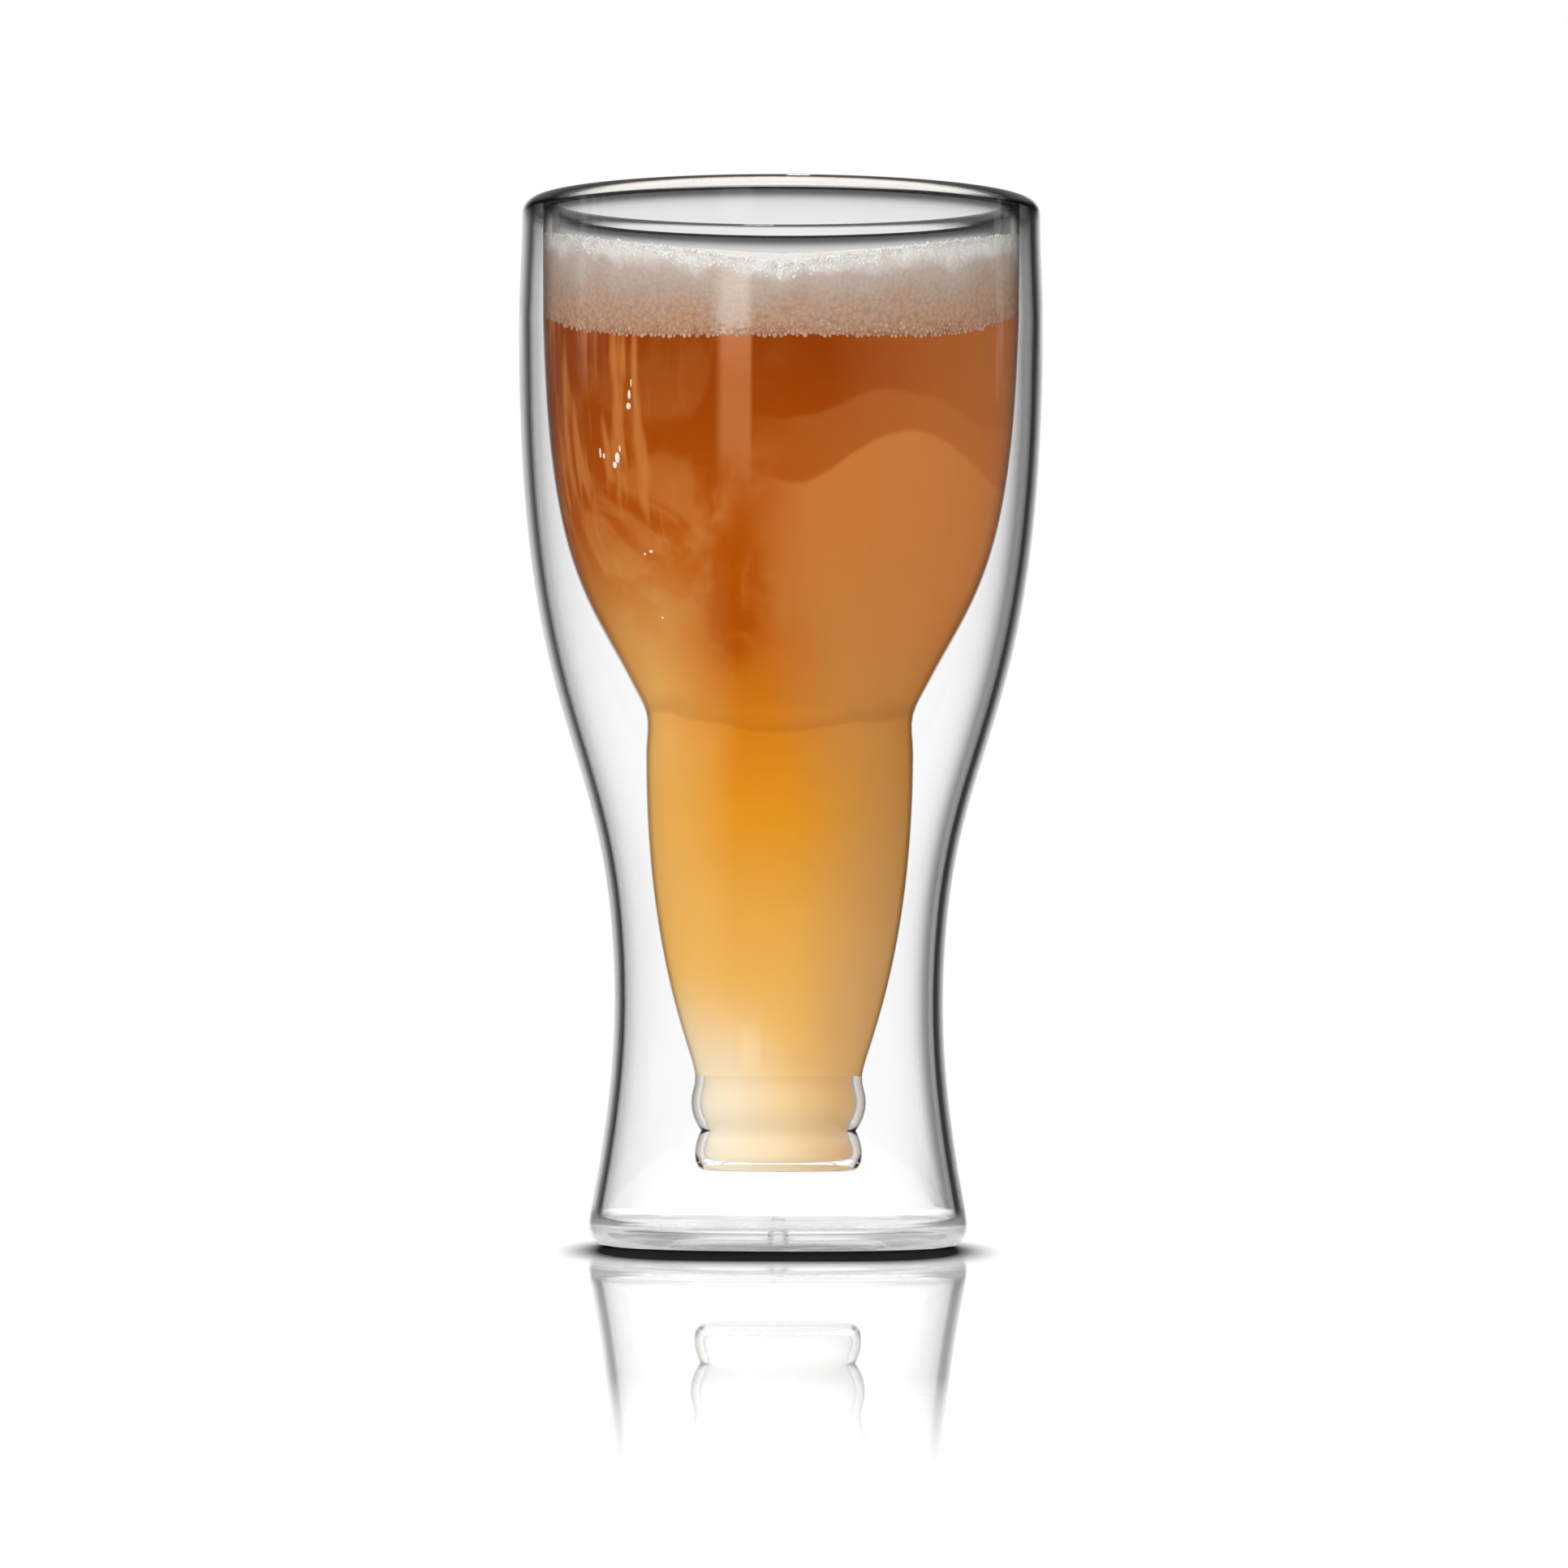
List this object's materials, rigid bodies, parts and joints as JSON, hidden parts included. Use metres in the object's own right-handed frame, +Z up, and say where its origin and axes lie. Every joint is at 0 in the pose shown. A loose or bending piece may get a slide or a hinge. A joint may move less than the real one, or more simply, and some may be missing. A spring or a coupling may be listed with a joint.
{
  "type": "double-walled beer glass",
  "caption": "Clear double-walled beer glass: a waisted outer wall around an inner vessel shaped like an upturned bottle, filled with beer under a head of foam.",
  "frame": {"origin": "middle of the flat ring that the glass stands on, on the axis of the glass", "axes": "+Z up along the axis of the glass, towards the rim; the glass is round about it, so X and Y are alike"},
  "size_m": [0.0892, 0.0892, 0.178],
  "materials": {
    "clear_glass": "clear, fire polished",
    "beer": "hazy amber liquid, paler towards the tip",
    "foam": "fine bubbles, cream coloured"
  },
  "bodies": {
    "root": {"outer_wall": "clear_glass", "inner_vessel": "clear_glass", "rim_bead": "clear_glass", "vent_seal": "clear_glass", "beer": "beer", "foam_head": "foam"}
  },
  "joints": []
}
